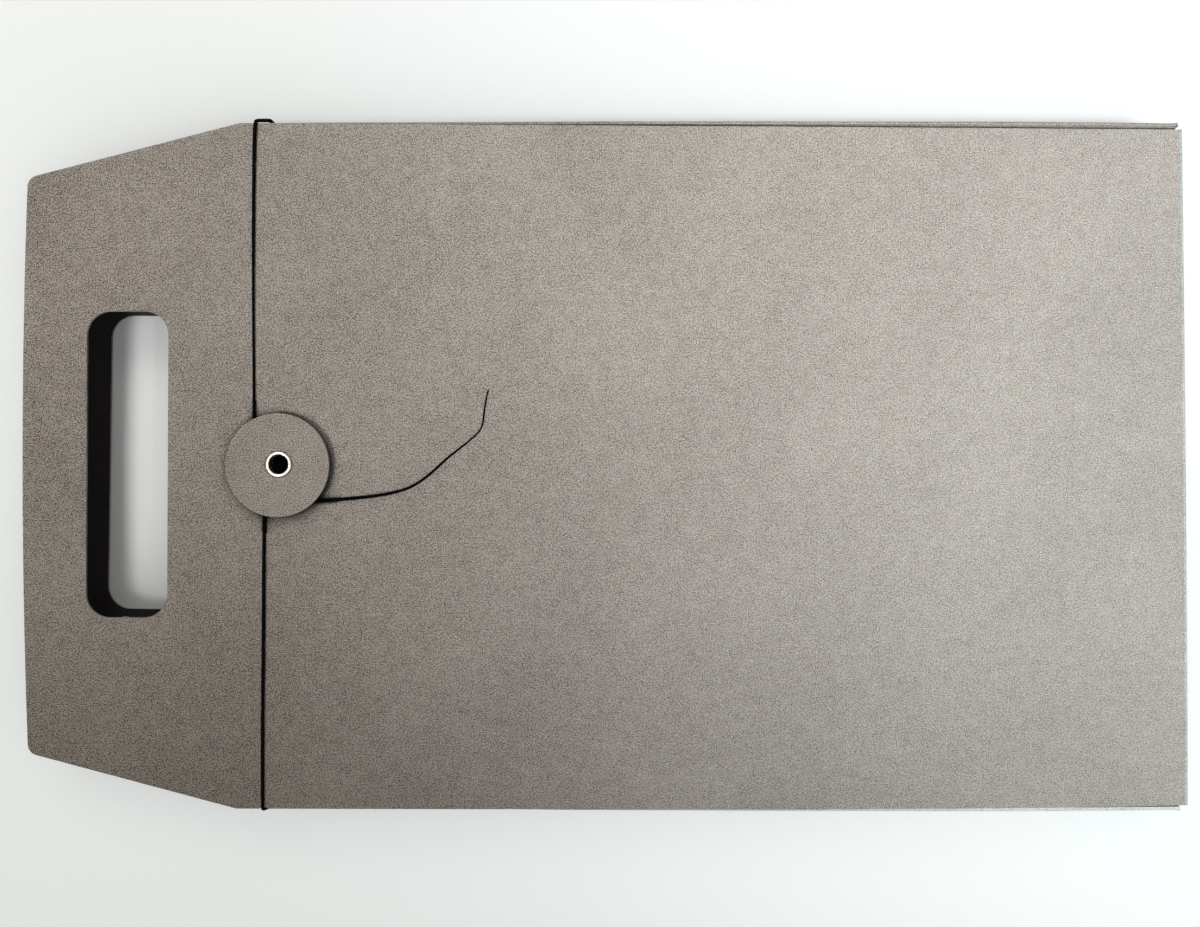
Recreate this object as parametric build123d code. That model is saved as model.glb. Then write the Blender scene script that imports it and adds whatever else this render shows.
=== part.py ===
from build123d import *
import os
from math import radians, tan

# Presentation folder of greyboard, closed and lying on its back, in millimetres.
# +X runs from the handle to the spine, +Y is the right side of the folder when it is
# carried by its handle and seen from the front, and +Z points up from the back cover.

# Board and body
board = 1.2                 # thickness of the greyboard
body_length = 320.5         # from where the side walls begin to the outer face of the spine
body_width = 232.0          # over the outer faces of the two side walls
body_depth = 20.0           # from the back cover's outer face to the front cover's
spine_setback = 2.0         # each end of the spine is this far inside the side walls' outer faces

# Handle
handle_length = 72.5        # from the side walls to the middle of the handle's end
handle_end_width = 194.0    # at the sharp corners, before rounding
handle_end_bow = 1.8        # the end edge bulges this far between its corners
handle_corner_radius = 4.0
hand_hole_length = 103.4
hand_hole_width = 27.4
hand_hole_radius = 8.0
hand_hole_inset = 22.0      # board left between the hole and the handle's end
back_hole_shift = 1.3       # the back cover's hole lies this far to the right of the front one

# Folds
fold_inner_radius = 0.3     # inner radius of the bent board
fold_gap = 0.05             # each moving panel stops this far from its fold line
wall_end_gap = 0.7          # between a side wall's end and the spine's fold line
wall_start_setback = 0.5    # the side walls begin this far behind the handle's taper
cover_edge_setback = 0.25   # the front cover's long edge, inside the side wall's outer face
flap_width = 50.0           # depth of the flaps that lie under the front cover
flap_start_slant = 12.0     # slant of the flap's end by the handle, over its depth
flap_clearance = 0.3        # between the flaps and the front cover above them

# Closure
disc_diameter = 35.0
disc_thickness = 1.2
disc_from_walls = 15.5      # the disc's centre, from where the side walls begin
disc_side_offset = 0.0      # the disc's centre, from the middle line
disc_gap = 2.85             # room under the disc, for the knot and the crossing cord
eyelet_hole_radius = 3.3
eyelet_wall = 0.3
eyelet_fit = 0.1            # radial play of the disc on the barrel, and the hole in the cover
eyelet_rim_radius = 4.3
eyelet_rim_height = 0.65
eyelet_curl_radius = 4.9    # rolled end inside the front cover
eyelet_curl_height = 0.7
eyelet_seat = 0.05          # between the eyelet's rims and the boards they hold

# Cord
cord_diameter = 1.1
cord_clearance = 0.05       # between the cord and what it lies on
cord_edge_radius = 0.9      # centreline of the cord where it is pulled over the cover's edge
cord_run_inset = 2.0        # the straight run under the back cover starts this far from the fold
girth_from_disc = 5.3       # the run under the back cover, from the disc's centre to the handle
left_edge_from_disc = 5.6   # where the cord goes over the left edge, and over the right one
right_edge_from_disc = 8.2
edge_turn_from_disc = 8.8   # where it has turned from the right edge to run to the disc
edge_turn_inset = 4.2
left_leg_bulge = 0.3        # the legs stand off the straight line over the side walls
right_leg_bulge = 0.8
knot_radius = 1.3
knot_turn = 305.0           # degrees that the cord goes round the barrel from its knot
knot_distance = 4.2         # from the barrel's side to where the knot ends
strand_turn_from_disc = 5.4 # where the left strand has turned from the knot to run to the edge
strand_turn_side = 16.0     # and how far that is from the middle line

# Heights
back_face = cord_diameter + cord_clearance
back_inner = back_face + board
front_face = back_face + body_depth
front_inner = front_face - board
flap_top = front_inner - flap_clearance
flap_bottom = flap_top - board
fold_outer_radius = fold_inner_radius + board
low_fold = back_inner + fold_inner_radius
spine_fold_top = front_inner - fold_inner_radius
flap_fold = flap_bottom - fold_inner_radius
disc_bottom = front_face + disc_gap
disc_top = disc_bottom + disc_thickness

# Places along the length and across the width
handle_end = -(handle_length + body_length) / 2
wall_start = handle_end + handle_length
spine_face = wall_start + body_length
spine_fold = spine_face - fold_outer_radius
side_face = body_width / 2
spine_width = body_width - 2 * spine_setback
side_fold = side_face - fold_outer_radius
cover_edge = side_face - cover_edge_setback
panel_start = wall_start + wall_start_setback
panel_end = spine_fold - wall_end_gap
disc_centre = (wall_start + disc_from_walls, disc_side_offset)
barrel_radius = eyelet_hole_radius + eyelet_wall


def slab(x_span, y_span, z_span):
    """Flat board between two places along each direction."""
    size = [high - low for low, high in (x_span, y_span, z_span)]
    middle = [(high + low) / 2 for low, high in (x_span, y_span, z_span)]
    return Pos(*middle) * Box(*size)


def cover(end, edge, end_edge, handle_edge, bottom, hole_shift):
    """A cover with its tapered handle and hand hole. Its edges run from end_edge at its
    end to edge where the side walls begin, and the handle starts at handle_edge."""
    corner = handle_end + handle_end_bow
    half_end = handle_end_width / 2
    side = [(end, end_edge), (wall_start, edge)]
    if handle_edge > edge:
        side.append((wall_start, handle_edge))
    side.append((corner, half_end))
    other_side = [(x, -y) for x, y in reversed(side)]
    end_edge_line = ThreePointArc((corner, half_end), (handle_end, 0), (corner, -half_end))
    outline = make_face([*Polyline(*side).edges(), end_edge_line,
                         *Polyline(*other_side, side[0]).edges()])
    outline = fillet(outline.vertices().group_by(Axis.X)[0], handle_corner_radius)
    hole_middle = handle_end + hand_hole_inset + hand_hole_width / 2
    hole = RectangleRounded(hand_hole_width, hand_hole_length, hand_hole_radius)
    return extrude(Pos(0, 0, bottom) * (outline - Pos(hole_middle, hole_shift) * hole), board)


def fold(origin, along, first, length):
    """Quarter ring of bent board round a fold line, turning on from the direction first."""
    ring = Circle(fold_outer_radius) - Circle(fold_inner_radius)
    quarter = Pos(fold_outer_radius / 2, fold_outer_radius / 2) * Rectangle(
        fold_outer_radius, fold_outer_radius)
    return extrude(Plane(origin=origin, x_dir=first, z_dir=along) * (ring & quarter), length)


def inner_flap():
    """Flap with slanted ends: mitred by the spine so that it clears the opening cover."""
    root = side_fold - fold_gap
    tip = side_fold - flap_width
    outline = Polyline((panel_start, root), (panel_end, root), (panel_end - (root - tip), tip),
                       (panel_start + flap_start_slant, tip), close=True)
    return extrude(Pos(0, 0, flap_bottom) * make_face(outline), board)


def eyelet():
    """Turned section of the rivet: rim over the disc, barrel, and rolled end inside."""
    rim_seat = disc_top + eyelet_seat
    curl_seat = front_inner - eyelet_seat
    rim_top = rim_seat + eyelet_rim_height
    curl_bottom = curl_seat - eyelet_curl_height
    rim_middle = (eyelet_rim_radius + eyelet_hole_radius) / 2
    curl_middle = (eyelet_curl_radius + eyelet_hole_radius) / 2
    crown = (eyelet_rim_radius - eyelet_hole_radius) / 4
    section = Plane.XZ * make_face(Polyline(
        (barrel_radius, curl_seat), (barrel_radius, rim_seat), (eyelet_rim_radius, rim_seat),
        (rim_middle + crown, rim_top), (rim_middle - crown, rim_top),
        (eyelet_hole_radius, rim_seat), (eyelet_hole_radius, curl_seat),
        (curl_middle - crown, curl_bottom), (curl_middle + crown, curl_bottom),
        (eyelet_curl_radius, curl_seat), close=True))
    return Pos(*disc_centre, 0) * revolve(section, Axis.Z)


def between(a, b, share):
    """The place that lies share of the way from a to b."""
    return tuple(p + (q - p) * share for p, q in zip(a, b))


def bend_radii(points, tight=()):
    """One radius for each corner, as large as its runs allow, or the radius given in tight."""
    radii = []
    for i in range(1, len(points) - 1):
        before = Vector(*points[i]) - Vector(*points[i - 1])
        after = Vector(*points[i + 1]) - Vector(*points[i])
        turn = radians(before.get_angle(after))
        radius = 0.45 * min(before.length, after.length) / tan(turn / 2)
        radii.append(dict(tight).get(i, radius))
    return radii


def cord_section(path):
    """Section of the cord at the start of its path. Twelve sides are round for a cord so thin."""
    return Plane(origin=path @ 0, z_dir=path % 0) * RegularPolygon(cord_diameter / 2, 12)


def cord(name, points, tight=()):
    """Round cord along straight runs joined by arcs."""
    radii = bend_radii(points, tight)
    path = FilletPolyline(*points, radius=radii) if radii else Line(*points)
    print(name, "length", round(path.length, 1), "radii", [round(r, 1) for r in radii])
    return sweep(cord_section(path), path)


def cord_loop():
    """Turn of the cord round the eyelet's barrel, and the knot that ties it to the strand."""
    turn = CenterArc((*disc_centre, cord_height), turn_radius, 180 - knot_turn, knot_turn)
    path = Wire([turn, Line(barrel_side, strand_end)])
    knot_place = strand_end[1] + knot_radius + cord_clearance
    knot_height = front_face + 2 * cord_clearance + knot_radius
    knot = Pos(strand_end[0], knot_place, knot_height) * Sphere(knot_radius)
    return sweep(cord_section(path), path) + knot


# Cord route. It is tied round the eyelet, runs over the left edge, under the back cover,
# over the right edge, and back under the disc, and its end lies loose on the front cover.
cord_height = front_face + cord_clearance + cord_diameter / 2
crossing_height = cord_height + cord_diameter + 3 * cord_clearance
under_height = cord_diameter / 2
side_path = side_face + cord_clearance + cord_diameter / 2
girth_place = disc_centre[0] - girth_from_disc
bend_height = under_height + 0.8 * body_depth
turn_radius = barrel_radius + cord_clearance + cord_diameter / 2
barrel_side = (disc_centre[0] - turn_radius, disc_centre[1], cord_height)


def route(points):
    """Places given from the disc's centre and above the cord's height on the cover."""
    return [(disc_centre[0] + x, disc_centre[1] + y, cord_height + z) for x, y, z in points]


left_edge = (disc_centre[0] - left_edge_from_disc, -side_path, cord_height)
left_bend = (girth_place + left_leg_bulge, -side_path, bend_height)
left_corner = (girth_place, -side_path, under_height)
right_corner = (girth_place, side_path, under_height)
right_bend = (girth_place + right_leg_bulge, side_path, bend_height)
right_edge = (disc_centre[0] - right_edge_from_disc, side_path, cord_height)
right_turn = (disc_centre[0] - edge_turn_from_disc, side_path - edge_turn_inset, cord_height)
strand_end = (barrel_side[0], barrel_side[1] - knot_distance, cord_height)
strand_turn = (disc_centre[0] - strand_turn_from_disc, -strand_turn_side, cord_height)
left_split = between(strand_turn, left_edge, 0.985)
right_split = between(right_edge, right_turn, 0.4)
under_left = (girth_place, -side_fold + cord_run_inset, under_height)
under_right = (girth_place, side_fold - cord_run_inset, under_height)
corner_radius = fold_outer_radius + cord_clearance + cord_diameter / 2

passing_disc = route([
    (-9.2, 66.0, 0),
    (-8.8, 17.0, 0),
    (-8.9, 7.0, 0.25),
    (-8.2, -3.6, crossing_height - cord_height),
    (-3.0, -11.3, crossing_height - cord_height),
    (5.0, -13.1, 0.3),
])
loose_end = route([
    (13.6, -12.0, 0),
    (24.1, -11.2, 0),
    (35.1, -10.3, 0),
    (43.7, -8.0, 0),
    (50.2, -3.6, 0),
    (56.1, 2.4, 0),
    (63.9, 8.1, 0),
    (68.1, 12.4, 0),
    (68.6, 18.8, 0),
    (69.9, 25.0, 0),
])
tail_split = between(passing_disc[-1], loose_end[0], 0.45)

parts = {}
parts["back_cover"] = cover(
    spine_fold, side_fold, side_fold, cover_edge, back_face, back_hole_shift)
front_board = cover(
    spine_fold - fold_gap, cover_edge, spine_width / 2, cover_edge, front_inner, 0.0)
eyelet_passage = Pos(*disc_centre, front_inner) * Cylinder(barrel_radius + eyelet_fit, 4 * board)
parts["front_cover"] = front_board - eyelet_passage

spine_span = (-spine_width / 2, spine_width / 2)
spine_board = (spine_fold + fold_inner_radius, spine_face)
spine_heights = (low_fold + fold_gap, spine_fold_top)
parts["spine_wall"] = slab(spine_board, spine_span, spine_heights)
parts["back_spine_crease"] = fold(
    (spine_fold, -spine_width / 2, low_fold), (0, 1, 0), (1, 0, 0), spine_width)
parts["front_spine_crease"] = fold(
    (spine_fold, -spine_width / 2, spine_fold_top), (0, 1, 0), (0, 0, 1), spine_width)

panel_span = (panel_start, panel_end)
wall_board = (side_fold + fold_inner_radius, side_face)
wall_heights = (low_fold + fold_gap, flap_fold)
side_pieces = {
    "side_wall": slab(panel_span, wall_board, wall_heights),
    "wall_crease": fold((panel_start, side_fold, low_fold), (1, 0, 0), (0, 0, -1),
                        panel_end - panel_start),
    "flap_crease": fold((panel_start, side_fold, flap_fold), (1, 0, 0), (0, 1, 0),
                        panel_end - panel_start),
    "inner_flap": inner_flap(),
}
for name, piece in side_pieces.items():
    parts["right_" + name] = piece
    parts["left_" + name] = mirror(piece, Plane.XZ)

disc_board = Cylinder(disc_diameter / 2, disc_thickness) - Cylinder(
    barrel_radius + eyelet_fit, disc_thickness)
parts["closure_disc"] = Pos(*disc_centre, disc_bottom + disc_thickness / 2) * disc_board
parts["closure_eyelet"] = eyelet()

edge = cord_edge_radius
parts["cord_knot_loop"] = cord_loop()
parts["cord_left_strand"] = cord("left strand", [strand_end, strand_turn, left_split])
parts["cord_left_leg"] = cord(
    "left leg", [left_split, left_edge, left_bend, left_corner, under_left],
    [(1, edge), (3, corner_radius)])
parts["cord_back_run"] = cord("back run", [under_left, under_right])
parts["cord_right_leg"] = cord(
    "right leg", [under_right, right_corner, right_bend, right_edge, right_split],
    [(1, corner_radius), (3, edge)])
parts["cord_right_strand"] = cord(
    "right strand", [right_split, right_turn, *passing_disc, tail_split])
parts["cord_tail"] = cord("tail", [tail_split, *loose_end])

os.makedirs("parts", exist_ok=True)
for name, piece in parts.items():
    export_step(piece, "parts/" + name + ".step")
    print(name, round(piece.volume, 2))
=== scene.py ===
from math import cos, exp, floor, hypot, pi, radians, sin, tan

import bmesh
import bpy
from mathutils import Matrix, Vector
from mathutils.geometry import tessellate_polygon
from mathutils.noise import noise


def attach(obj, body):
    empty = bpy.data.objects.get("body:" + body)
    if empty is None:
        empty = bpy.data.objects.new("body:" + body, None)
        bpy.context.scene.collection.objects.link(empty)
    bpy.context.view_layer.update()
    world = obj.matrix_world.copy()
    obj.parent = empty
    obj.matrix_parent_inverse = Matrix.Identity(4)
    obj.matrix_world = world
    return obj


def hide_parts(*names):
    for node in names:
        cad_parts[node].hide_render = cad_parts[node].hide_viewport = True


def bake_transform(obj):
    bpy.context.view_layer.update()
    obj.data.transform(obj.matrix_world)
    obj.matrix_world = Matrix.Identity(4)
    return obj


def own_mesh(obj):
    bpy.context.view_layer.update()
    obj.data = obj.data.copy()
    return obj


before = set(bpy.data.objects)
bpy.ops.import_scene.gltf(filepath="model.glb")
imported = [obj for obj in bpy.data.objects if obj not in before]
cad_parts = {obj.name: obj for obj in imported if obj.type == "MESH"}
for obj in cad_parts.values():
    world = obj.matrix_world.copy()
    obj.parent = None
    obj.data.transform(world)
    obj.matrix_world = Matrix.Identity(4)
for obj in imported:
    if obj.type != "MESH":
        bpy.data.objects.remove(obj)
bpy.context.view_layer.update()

# Every length is in millimetres until mesh_piece() and the camera turn it to metres.
MM = 0.001

# Heights of the folder's layers above the surface it lies on
BACK_FACE = 1.15
FRONT_INNER = 19.95
FRONT_FACE = 21.15
FLAP_TOP = 19.65
DISC_BOTTOM = 24.0
DISC_TOP = 25.2
BOARD = 1.2

# Plan of the folder
HANDLE_END = -196.5
HANDLE_BOW = 1.8
HANDLE_HALF = 97.0
HANDLE_CORNER = 4.0
WALL_START = -124.0
SPINE_FOLD = 195.0
SPINE_FACE = 196.5
COVER_HALF = 115.75
SIDE_FOLD = 114.5
SIDE_FACE = 116.0
PANEL_START = -123.5
PANEL_END = 194.3
FLAP_TIP = 64.5
FLAP_SLANT = 12.0
HOLE_NEAR = -174.5
HOLE_FAR = -147.1
HOLE_HALF = 51.7
HOLE_CORNER = 8.0
BACK_HOLE_NEAR = -174.1
BACK_HOLE_SHIFT = 0.9
BACK_HOLE_TURN = -0.6       # degrees

# The front cover's long edges, as the folded board lies, and the spine's two ends
FRONT_RIGHT_EDGE = ((134.0, 113.7), (67.0, 114.25), (0.0, 114.7), (-68.0, 115.2))
FRONT_LEFT_EDGE = ((-105.0, -115.95), (-50.0, -116.0), (66.0, -115.8), (134.0, -115.25),
                   (167.0, -114.8), (184.0, -114.37))
SPINE_ENDS = (-114.05, 113.2)

# How far the tops of the side walls stand out from their line, along their length
RIGHT_TOP = ((-123.5, 0.2), (-101.0, 0.38), (-68.0, 0.48), (-1.0, 0.8), (66.0, 0.74),
             (134.0, 0.6), (170.0, 0.3), (194.3, 0.0))
LEFT_TOP = ((-123.5, 0.0), (-68.0, 0.45), (-1.0, 0.85), (66.0, 0.95), (134.0, 0.95), (167.0, 0.7),
            (184.0, 0.5), (194.3, 0.4))

# Folds: quarter rings of bent board round their fold lines
FOLD_INNER = 0.3
FOLD_OUTER = 1.5
LOW_FOLD = 2.65
COVER_FOLD = 19.65
FLAP_FOLD = 18.15

# Closure
DISC_X = -108.5
DISC_RADIUS = 17.35
DISC_OFF = (-0.52, -0.28)   # the disc's outline lies this far off the eyelet's middle
BARREL_RADIUS = 3.6
BARREL_HOLE = 3.7           # the hole for the barrel in the disc and in the front cover
CORD_RADIUS = 0.55
CORD_TWIST = 3.4            # one full turn of the cord's three plies


# Small tools

def linear(code):
    """Linear colour of an sRGB hex value."""
    shares = [int(code[i:i + 2], 16) / 255 for i in (1, 3, 5)]
    return tuple(s / 12.92 if s <= 0.04045 else ((s + 0.055) / 1.055) ** 2.4
                 for s in shares) + (1.0,)


def add(tree, kind, settings=(), **inputs):
    """A node with its settings, and its inputs set to a value or linked from a socket."""
    node = tree.nodes.new(kind)
    for name, value in dict(settings).items():
        setattr(node, name, value)
    for key, value in inputs.items():
        place = int(key[1:]) if key[0] == "i" and key[1:].isdigit() else key.replace("_", " ")
        if isinstance(value, bpy.types.NodeSocket):
            tree.links.new(value, node.inputs[place])
        else:
            node.inputs[place].default_value = value
    return node


def new_material(name):
    """An empty node material and its surface input."""
    made = bpy.data.materials.new(name)
    made.use_nodes = True
    made.node_tree.nodes.clear()
    output = made.node_tree.nodes.new("ShaderNodeOutputMaterial")
    return made, made.node_tree, output


def mesh_piece(name, corners, faces, finishes, face_finish=(), smooth=True):
    """An object from corners in millimetres. face_finish has the number of each face's finish,
    and smooth holds for all faces, or is a list with a value for each."""
    mesh = bpy.data.meshes.new(name)
    mesh.from_pydata([Vector(c) * MM for c in corners], [], faces)
    for finish in finishes:
        mesh.materials.append(finish)
    for number, face in enumerate(mesh.polygons):
        face.use_smooth = smooth if isinstance(smooth, bool) else smooth[number]
        if face_finish:
            face.material_index = face_finish[number]
    mesh.validate()
    piece = bpy.data.objects.new(name, mesh)
    bpy.context.scene.collection.objects.link(piece)
    return piece


def stand_in_for(piece, body, slot, *nodes):
    """The piece rides on the body in place of its plain solids."""
    if body:
        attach(piece, body)
    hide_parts(*nodes)


# Camera: the photograph was taken from almost straight above, with a wide lens

PHOTO_WIDTH = 1200          # pixels
PHOTO_FOCAL = 1245.8        # pixels
SENSOR_WIDTH = 36.0
CAMERA_PLACE = (1.25, -3.45, 441.0)
CAMERA_TURNS = (("Z", -0.05), ("X", -0.526), ("Y", -0.315))     # degrees


def photo_camera():
    """The photograph's view."""
    data = bpy.data.cameras.new("photo_view")
    data.sensor_width = SENSOR_WIDTH
    data.lens = PHOTO_FOCAL / PHOTO_WIDTH * SENSOR_WIDTH
    data.clip_start = 10 * MM
    view = bpy.data.objects.new("photo_view", data)
    bpy.context.scene.collection.objects.link(view)
    turn = Matrix.Identity(3)
    for axis, angle in CAMERA_TURNS:
        turn = turn @ Matrix.Rotation(radians(angle), 3, axis)
    place = Matrix.Translation(Vector(CAMERA_PLACE) * MM)
    view.matrix_world = place @ turn.transposed().to_4x4()
    bpy.context.scene.camera = view


# Lamps, in metres and watts

def lamp(name, kind, place, aim, power, colour, **settings):
    """A lamp that shines from its place towards its aim."""
    data = bpy.data.lights.new(name, kind)
    data.energy = power
    data.color = colour
    for key, value in settings.items():
        setattr(data, key, value)
    holder = bpy.data.objects.new(name, data)
    holder.location = place
    holder.rotation_euler = (Vector(aim) - Vector(place)).to_track_quat("-Z", "Y").to_euler()
    bpy.context.scene.collection.objects.link(holder)


def studio():
    """A soft key lamp over the handle whose beam falls on the folder's upper part, a cooler
    soft lamp beyond the spine, and a weak warm lamp beside the upper edge."""
    lamp("key", "SPOT", place=(-0.6, 0.0, 1.3), aim=(-0.164, 0.301, 0.02), power=263.0,
         colour=(1.036, 1.035, 1.026), spot_size=0.356, spot_blend=1.0, shadow_soft_size=0.42)
    lamp("spine_lamp", "SPOT", place=(0.7, -0.3, 1.0), aim=(0.259, 0.019, 0.02), power=297.0,
         colour=(0.931, 1.012, 1.073), spot_size=0.336, spot_blend=1.0, shadow_soft_size=0.25)
    lamp("side_lamp", "AREA", place=(-0.3, 0.5, 0.6), aim=(0.0, 0.0, 0.0), power=1.59,
         colour=(1.042, 0.986, 0.932), size=0.35)
    world = bpy.data.worlds.new("studio")
    world.use_nodes = True
    tree = world.node_tree
    tree.nodes.clear()
    path = add(tree, "ShaderNodeLightPath")
    seen = add(tree, "ShaderNodeMath", {"operation": "MAXIMUM"},
               i0=path.outputs["Is Camera Ray"], i1=path.outputs["Is Glossy Ray"])
    seen = add(tree, "ShaderNodeMath", {"operation": "MAXIMUM"},
               i0=seen.outputs[0], i1=path.outputs["Is Transmission Ray"])
    # the weak warm light of the room, and the white that the camera and the metal see
    room = add(tree, "ShaderNodeBackground", Color=(1.0, 0.75, 0.6, 1.0), Strength=0.055)
    white = add(tree, "ShaderNodeBackground", Color=(1.0, 1.0, 1.0, 1.0), Strength=1.0)
    mixed = add(tree, "ShaderNodeMixShader", i0=seen.outputs[0], i1=room.outputs[0],
                i2=white.outputs[0])
    add(tree, "ShaderNodeOutputWorld", Surface=mixed.outputs[0])
    bpy.context.scene.world = world


# The paper that the folder lies on. Sky is the share of open sky above a point of it, within
# SHADE_REACH of the folder.

PAPER_HALF = 20000.0
SHADE_REACH = 200.0
NEAR_SKY = 0.52             # up to here the paper shows as the lamps light it
OPEN_SKY = 0.64             # from here on it shows nearly even white
# painted shade: the dark at the folder's foot darkens the paper's colour and glow
FOOT_LEAN = 22.0            # degrees: the dark at the folder's foot is deeper on its right side
FOOT_SOFTNESS = 0.65        # the power that softens that dark
LIT_PAPER = 0.96
LIT_GLOW = 0.11
OPEN_PAPER = 0.27
OPEN_GLOW = 0.68


def white_paper_floor():
    """Matt white paper. The camera sees it paler than it lights the folder, and it keeps the
    folder's shadow. The dark at the folder's foot is painted shade in the paper's colour and
    glow."""
    made, tree, output = new_material("white_paper")
    path = add(tree, "ShaderNodeLightPath")
    sky = add(tree, "ShaderNodeAmbientOcclusion", {"samples": 32}, Distance=SHADE_REACH * MM)
    opened = add(tree, "ShaderNodeMapRange", {"clamp": True, "interpolation_type": "SMOOTHSTEP"},
                 Value=sky.outputs["AO"], i1=NEAR_SKY, i2=OPEN_SKY)
    lean = add(tree, "ShaderNodeCombineXYZ", X=0.0, Y=-sin(radians(FOOT_LEAN)),
               Z=cos(radians(FOOT_LEAN)))
    sky = add(tree, "ShaderNodeAmbientOcclusion", {"samples": 32}, Distance=SHADE_REACH * MM,
              Normal=lean.outputs[0])
    foot = add(tree, "ShaderNodeMath", {"operation": "POWER"}, i0=sky.outputs["AO"],
               i1=FOOT_SOFTNESS)
    lit = add(tree, "ShaderNodeMath", {"operation": "MULTIPLY"}, i0=foot.outputs[0], i1=LIT_PAPER)
    near = add(tree, "ShaderNodeAddShader",
               i0=add(tree, "ShaderNodeBsdfDiffuse", Color=lit.outputs[0]).outputs[0],
               i1=add(tree, "ShaderNodeEmission", Color=linear("#FCFFFC"),
                      Strength=LIT_GLOW).outputs[0])
    glow = add(tree, "ShaderNodeMath", {"operation": "MULTIPLY"}, i0=foot.outputs[0],
               i1=OPEN_GLOW)
    far = add(tree, "ShaderNodeAddShader",
              i0=add(tree, "ShaderNodeBsdfDiffuse",
                     Color=(OPEN_PAPER, OPEN_PAPER, OPEN_PAPER, 1.0)).outputs[0],
              i1=add(tree, "ShaderNodeEmission", Color=linear("#FBFFFC"),
                     Strength=glow.outputs[0]).outputs[0])
    seen = add(tree, "ShaderNodeMixShader", i0=opened.outputs[0], i1=near.outputs[0],
               i2=far.outputs[0])
    paper = add(tree, "ShaderNodeBsdfDiffuse", Color=linear("#F0F0EE"))
    mixed = add(tree, "ShaderNodeMixShader", i0=path.outputs["Is Camera Ray"],
                i1=paper.outputs[0], i2=seen.outputs[0])
    tree.links.new(mixed.outputs[0], output.inputs["Surface"])
    half = PAPER_HALF
    sheet = mesh_piece("floor", [(-half, -half, 0), (half, -half, 0), (half, half, 0),
                                 (-half, half, 0)], [(0, 1, 2, 3)], [made], smooth=False)


# Materials

# The pulp's patterns, by size, and their shares of its mottle
FIBRE_CLUMP, CLUMP_SHARE = 0.4, 0.86
FELT_MARK, FELT_SHARE = 4.0, 0.08
PULP_CLOUD, CLOUD_SHARE = 40.0, 0.06
MOTTLE_HALF = 0.17          # half the mottle's range: the wider it is, the weaker it shows
MOTTLE_FADE = 0.00032       # how much wider it is with each millimetre towards the spine

# Flecks of ink: at most one in a cell, in this share of the cells
FLECK_CELL = 2.5
FLECK_RADIUS = 0.175
FLECKED = 0.28
INK_STRENGTH = 0.45

# Plies of the pressed board, as its cut edge shows them
PLIES = 9.0                 # to a millimetre of depth
PLY_RUN = 4.0               # a line's usual length

# Painted shade, darkening the board's colour in crevices: how near the next piece is in
# millimetres, the share of open sky where the painted shade is darkest, and the share of
# colour left there
UNDER_DISC = (6.0, 0.56, 0.02)
UNDER_COVER = (3.0, 0.74, 0.02)

# Painted shade beside the disc: its width, the share of open sky that leaves the board
# unshaded at the disc's middle, and how that share changes with a millimetre towards the
# spine and to the right
DISC_SHADE_WIDTH = 6.0
DISC_UNSHADED_AT = 0.875
DISC_SHADE_SLOPES = (-0.0029, -0.0034)

# The strips that show beside the front cover get painted shade. They begin this far inside
# the cover's usual edge, and this share of open sky leaves them unshaded
STRIP_INSET = 2.6
STRIP_UNSHADED_AT = 0.87


def point_in_mm(tree):
    """The point on the piece in millimetres, for patterns at their real size."""
    return add(tree, "ShaderNodeVectorMath", {"operation": "SCALE"},
               Vector=add(tree, "ShaderNodeTexCoord").outputs["Object"],
               Scale=1 / MM).outputs[0]


def fibrous_skin(tree, output, colour, height, relief, strength, roughness, sheen):
    """The matt surface of paper, board or cotton, whose fibres stand out by the relief."""
    bump = add(tree, "ShaderNodeBump", Strength=strength, Distance=relief * MM, Height=height)
    skin = add(tree, "ShaderNodeBsdfPrincipled", Base_Color=colour, Roughness=roughness,
               IOR=1.45, Specular_IOR_Level=sheen, Normal=bump.outputs[0])
    tree.links.new(skin.outputs[0], output.inputs["Surface"])


def greyboard_grain(tree):
    """Mottling of pulped waste paper: the point in millimetres, the height of the fibre clumps,
    and the mottle as a value round 0.5."""
    point = point_in_mm(tree)
    clumps = add(tree, "ShaderNodeTexNoise", Vector=point, Scale=1 / FIBRE_CLUMP, Detail=1.5,
                 Roughness=0.75)
    marks = add(tree, "ShaderNodeTexNoise", Vector=point, Scale=1 / FELT_MARK, Detail=2.0,
                Roughness=0.6)
    clouds = add(tree, "ShaderNodeTexNoise", Vector=point, Scale=1 / PULP_CLOUD, Detail=2.0)
    mottle = add(tree, "ShaderNodeMath", {"operation": "MULTIPLY"}, i0=clouds.outputs[0],
                 i1=CLOUD_SHARE)
    for pattern, share in ((marks, FELT_SHARE), (clumps, CLUMP_SHARE)):
        mottle = add(tree, "ShaderNodeMath", {"operation": "MULTIPLY_ADD"},
                     i0=pattern.outputs[0], i1=share, i2=mottle.outputs[0])
    return point, clumps.outputs[0], mottle.outputs[0]


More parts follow.
